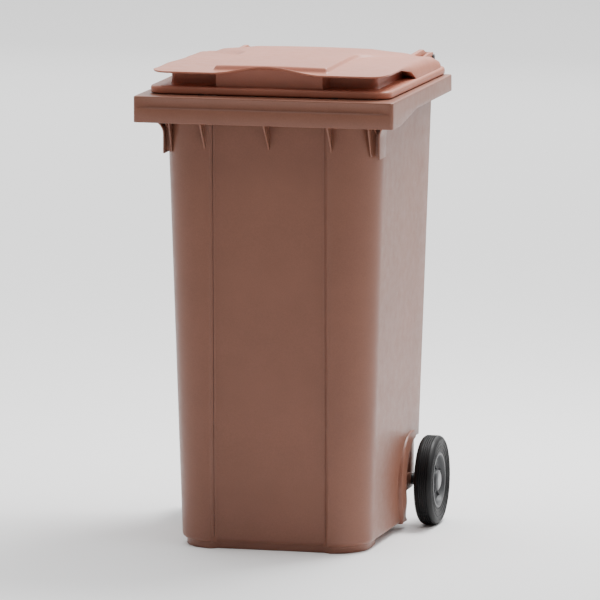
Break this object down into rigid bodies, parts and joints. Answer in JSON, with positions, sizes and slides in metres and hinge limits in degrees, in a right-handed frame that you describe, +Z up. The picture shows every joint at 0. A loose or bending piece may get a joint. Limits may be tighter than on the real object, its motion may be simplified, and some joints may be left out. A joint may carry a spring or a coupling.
{
  "type": "wheelie bin",
  "caption": "Two-wheeled rubbish bin with a tapered moulded tub, comb-lift rim, hinged lid with a hand-grip visor, bar handle and rubber-tyred wheels on a steel axle.",
  "frame": {"origin": "centre of the bounding box in X and Y, on the ground in Z, with the lid shut", "axes": "+Z is up, the front with the lid's grip faces -Y, the handle and wheels are at +Y, and +X is to the right seen from the front"},
  "size_m": [0.58, 0.725, 1.071],
  "materials": {
    "tub_plastic": "satin injection-moulded polyethylene, terracotta brown",
    "lid_plastic": "satin injection-moulded polyethylene, terracotta brown",
    "black_plastic": "black moulded plastic",
    "axle_steel": "zinc-plated steel",
    "tyre_rubber": "solid black rubber",
    "hub_plastic": "dark grey moulded plastic",
    "bush_plastic": "natural nylon",
    "cap_plastic": "grey moulded plastic",
    "buffer_rubber": "black rubber"
  },
  "bodies": {
    "tub_body": {"tub": "tub_plastic", "rim": "tub_plastic", "handle": "tub_plastic", "hinge_pin_left": "black_plastic", "hinge_pin_right": "black_plastic", "pin_cap_left": "black_plastic", "pin_cap_right": "black_plastic", "axle": "axle_steel", "spacer_left": "black_plastic", "spacer_right": "black_plastic", "retainer_left": "axle_steel", "retainer_right": "axle_steel", "lid_buffer_left": "buffer_rubber", "lid_buffer_right": "buffer_rubber"},
    "lid_body": {"lid": "lid_plastic"},
    "wheel_left": {"tyre_left": "tyre_rubber", "hub_left": "hub_plastic", "bush_left": "bush_plastic", "hub_cap_left": "cap_plastic"},
    "wheel_right": {"tyre_right": "tyre_rubber", "hub_right": "hub_plastic", "bush_right": "bush_plastic", "hub_cap_right": "cap_plastic"}
  },
  "joints": [
    {"name": "lid_hinge", "type": "hinge", "parent": "tub_body", "child": "lid_body", "pos_m": [0, 0.3275, 1.026], "axis": [-1, 0, 0], "range_deg": [0, 265]},
    {"name": "wheel_left_spin", "type": "hinge", "parent": "tub_body", "child": "wheel_left", "pos_m": [-0.268, 0.1195, 0.1], "axis": [1, 0, 0], "continuous": true},
    {"name": "wheel_right_spin", "type": "hinge", "parent": "tub_body", "child": "wheel_right", "pos_m": [0.268, 0.1195, 0.1], "axis": [1, 0, 0], "continuous": true}
  ]
}
